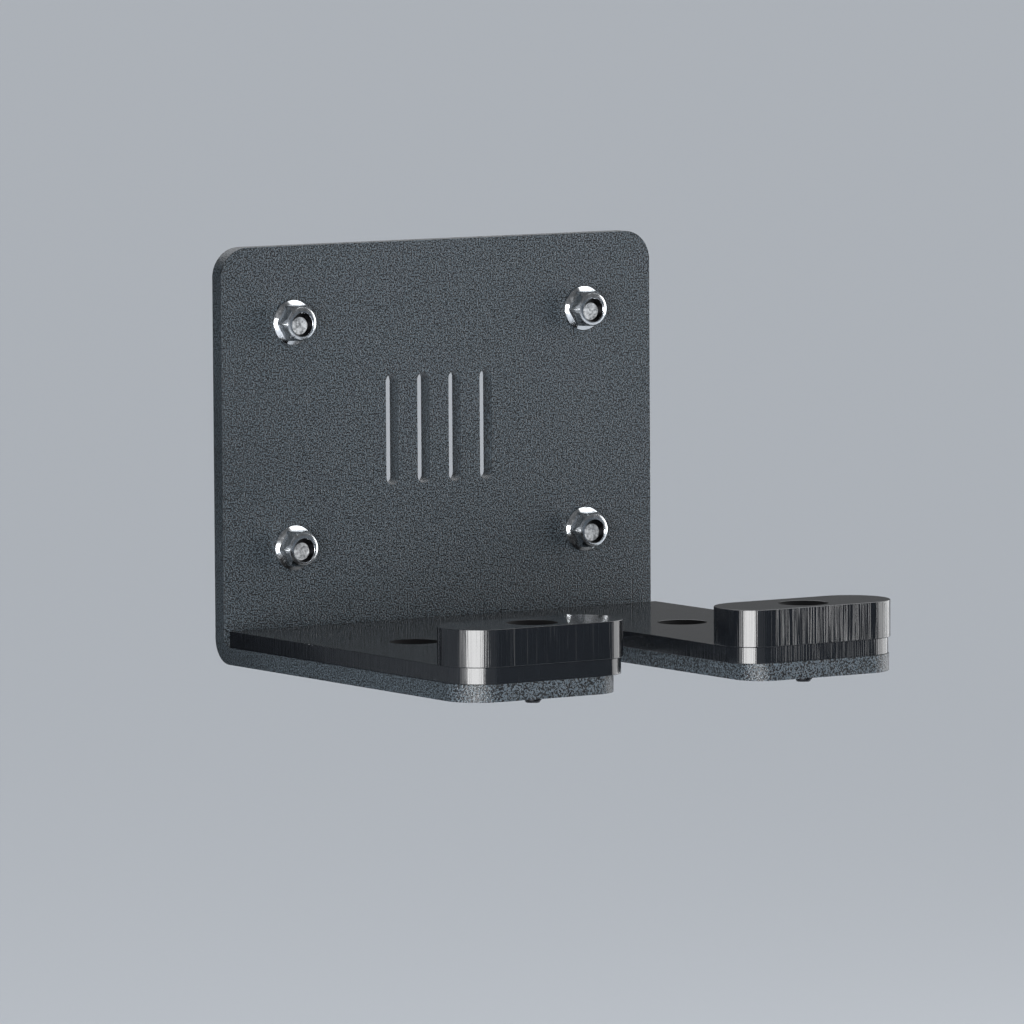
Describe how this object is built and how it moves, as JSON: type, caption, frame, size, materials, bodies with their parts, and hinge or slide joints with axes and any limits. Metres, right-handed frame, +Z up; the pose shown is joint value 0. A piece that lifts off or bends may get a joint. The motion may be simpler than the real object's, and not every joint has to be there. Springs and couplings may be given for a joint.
{
  "type": "barbell storage rack",
  "caption": "Wall bracket whose lined shelf has an open slot for a barbell's shaft and raised blocks that keep its collar in place, so that the bar stands upright.",
  "frame": {"origin": "middle of the four wall screws, on the back face of the plate", "axes": "+X along the wall to the right as seen from the room, +Y into the wall, +Z up"},
  "size_m": [0.1378, 0.1588, 0.1129],
  "materials": {
    "textured_powder_coat": "fine-textured black powder coat on steel",
    "black_sheet_plastic": "black sheet plastic with a gloss face and cut edges",
    "black_block_plastic": "black plastic with a gloss face and machined edges",
    "black_oxide_steel": "black oxide",
    "zinc_plated_steel": "bright zinc plating"
  },
  "bodies": {
    "root": {"bracket": "textured_powder_coat", "liner": "black_sheet_plastic", "left_block": "black_block_plastic", "right_block": "black_block_plastic", "left_block_screw": "black_oxide_steel", "right_block_screw": "black_oxide_steel", "left_liner_screw": "black_oxide_steel", "right_liner_screw": "black_oxide_steel", "upper_left_wall_screw": "zinc_plated_steel", "upper_right_wall_screw": "zinc_plated_steel", "lower_left_wall_screw": "zinc_plated_steel", "lower_right_wall_screw": "zinc_plated_steel"}
  },
  "joints": []
}
